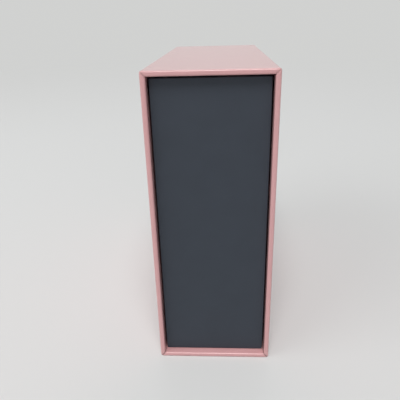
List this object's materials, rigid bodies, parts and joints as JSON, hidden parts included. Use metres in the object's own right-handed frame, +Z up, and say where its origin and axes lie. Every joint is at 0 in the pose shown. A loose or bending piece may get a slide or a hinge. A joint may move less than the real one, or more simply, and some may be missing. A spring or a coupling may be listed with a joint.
{
  "type": "jewelry box",
  "caption": "Paper-covered rigid board jewelry box: a velvet-lined drawer with ring rolls and padded compartments that slides out of an open-ended sleeve by a ribbon pull.",
  "frame": {"origin": "middle of the underside of the sleeve, as the box stands on a narrow side", "axes": "+Z up, +Y along the slide towards the end with the ribbon pull, +X towards the side that the drawer's open face looks to"},
  "size_m": [0.06, 0.1802, 0.155],
  "materials": {
    "greyboard": "matte",
    "gummed_tape": "matte",
    "blush_paper": "matte",
    "blush_lining_paper": "matte",
    "slate_paper": "matte",
    "dove_velvet": "matte",
    "white_foam": "matte",
    "slate_satin": "satin"
  },
  "bodies": {
    "sleeve": {"sleeve_bottom_board": "greyboard", "sleeve_right_board": "greyboard", "sleeve_top_board": "greyboard", "sleeve_left_board": "greyboard", "sleeve_corner_tapes": "gummed_tape", "sleeve_cover_paper": "blush_paper", "sleeve_base_paper": "blush_paper", "sleeve_lining": "blush_lining_paper"},
    "drawer": {"drawer_base_board": "greyboard", "drawer_front_board": "greyboard", "drawer_back_board": "greyboard", "drawer_lower_board": "greyboard", "drawer_upper_board": "greyboard", "drawer_corner_tapes": "gummed_tape", "drawer_cover_paper": "slate_paper", "drawer_base_paper": "slate_paper", "drawer_floor_velvet": "dove_velvet", "drawer_wall_velvet": "dove_velvet", "ring_roll_foam_1": "white_foam", "ring_roll_velvet_1": "dove_velvet", "ring_roll_foam_2": "white_foam", "ring_roll_velvet_2": "dove_velvet", "ring_roll_foam_3": "white_foam", "ring_roll_velvet_3": "dove_velvet", "ring_roll_foam_4": "white_foam", "ring_roll_velvet_4": "dove_velvet", "ring_roll_foam_5": "white_foam", "ring_roll_velvet_5": "dove_velvet", "long_divider_board": "greyboard", "long_divider_velvet": "dove_velvet", "short_divider_board": "greyboard", "short_divider_velvet": "dove_velvet", "lower_pad_foam": "white_foam", "lower_pad_velvet": "dove_velvet", "upper_pad_foam": "white_foam", "upper_pad_velvet": "dove_velvet", "pull_ribbon": "slate_satin", "ribbon_patch": "gummed_tape"}
  },
  "joints": [
    {"name": "drawer_slide", "type": "slide", "parent": "sleeve", "child": "drawer", "axis": [0, 1, 0], "range_m": [-0.16, 0.16]}
  ]
}
